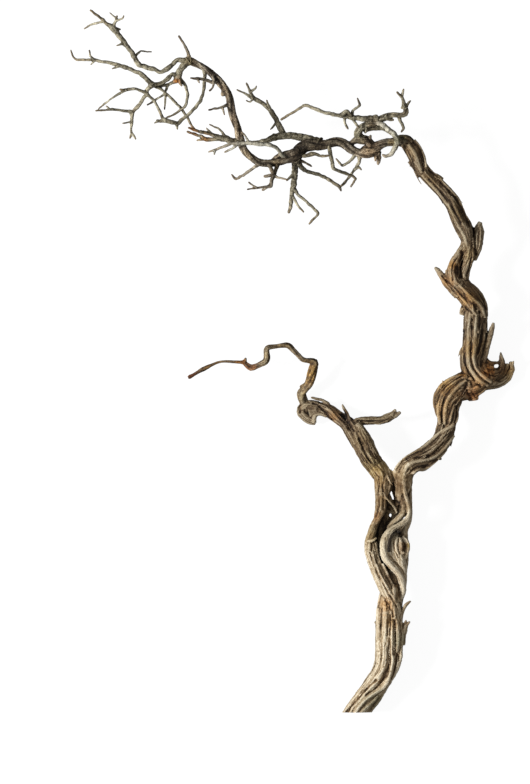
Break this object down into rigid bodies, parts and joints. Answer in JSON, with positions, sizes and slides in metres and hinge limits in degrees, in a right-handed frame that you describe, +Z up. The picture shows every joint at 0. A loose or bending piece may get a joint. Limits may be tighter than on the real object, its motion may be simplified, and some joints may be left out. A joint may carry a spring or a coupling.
{
  "type": "fallen tree branch",
  "caption": "Dry twisted fallen branch lying on its side: a ropy forked trunk, a hooked knot, and a leaning limb that ends in a fine crown of bare twigs",
  "frame": {"origin": "middle of the branch's box, on the plane that it lies on", "axes": "+Y from the sawn end to the twigs, +X to the hooked knot's side, +Z up from the plane that the branch lies on"},
  "size_m": [0.1941, 0.3056, 0.0523],
  "materials": {
    "trunk_wood": "bare weathered ridged wood, pale tan with dark grooves",
    "limb_wood": "bare weathered twisted wood, brown with pale strands",
    "crown_wood": "thin dark bark, rough",
    "twig_wood": "dry olive-grey twig bark",
    "pale_wood": "barkless pale grey twig",
    "tan_wood": "rusty tan twig bark"
  },
  "bodies": {
    "root": {"trunk": "trunk_wood", "left_limb": "limb_wood", "left_broken_branch": "limb_wood", "left_twig": "tan_wood", "right_limb": "limb_wood", "upper_limb": "limb_wood", "crown_limb": "crown_wood", "crown_upper_limb": "crown_wood", "roof_twig": "twig_wood", "looping_twig": "pale_wood", "middle_twig": "twig_wood", "rising_twig": "twig_wood", "low_twig": "twig_wood", "low_left_twig": "twig_wood", "low_flat_twig": "twig_wood", "low_long_twig": "twig_wood", "low_short_twig": "twig_wood", "down_twig": "twig_wood", "rust_twig": "tan_wood", "pale_twig": "pale_wood", "claw_twig": "twig_wood", "outer_twig": "twig_wood", "knob_twig": "twig_wood", "long_twig": "twig_wood", "drooping_twig": "twig_wood", "hanging_twig": "twig_wood"}
  },
  "joints": []
}
